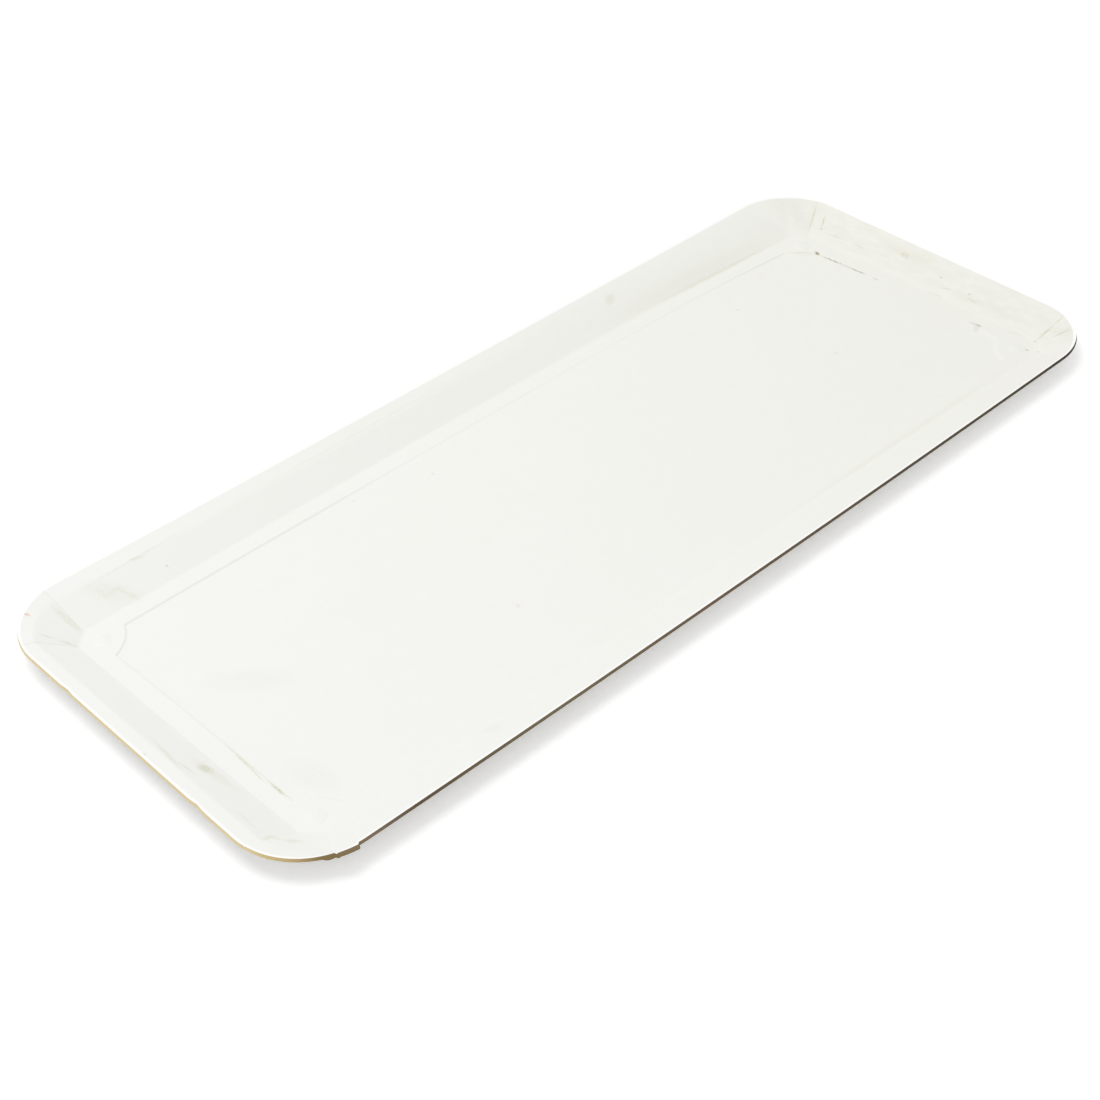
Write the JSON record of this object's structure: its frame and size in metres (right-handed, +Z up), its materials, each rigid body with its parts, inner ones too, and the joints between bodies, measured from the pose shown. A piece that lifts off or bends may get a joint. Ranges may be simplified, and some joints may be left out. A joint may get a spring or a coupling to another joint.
{
  "type": "log cake tray",
  "caption": "Long shallow pressed board tray with rounded corners, sloping walls, a flat rim flange, pleated corners and a sunken floor panel.",
  "frame": {"origin": "centre of the tray's bounding box, on the surface that the panel's underside rests on", "axes": "+X along the long side, +Y towards the back long side, +Z up out of the open face"},
  "size_m": [0.34, 0.1408, 0.0084],
  "materials": {
    "coated_board": "white coated face with a low sheen, brown fibre on the cut edge"
  },
  "bodies": {
    "root": {"tray": "coated_board"}
  },
  "joints": []
}
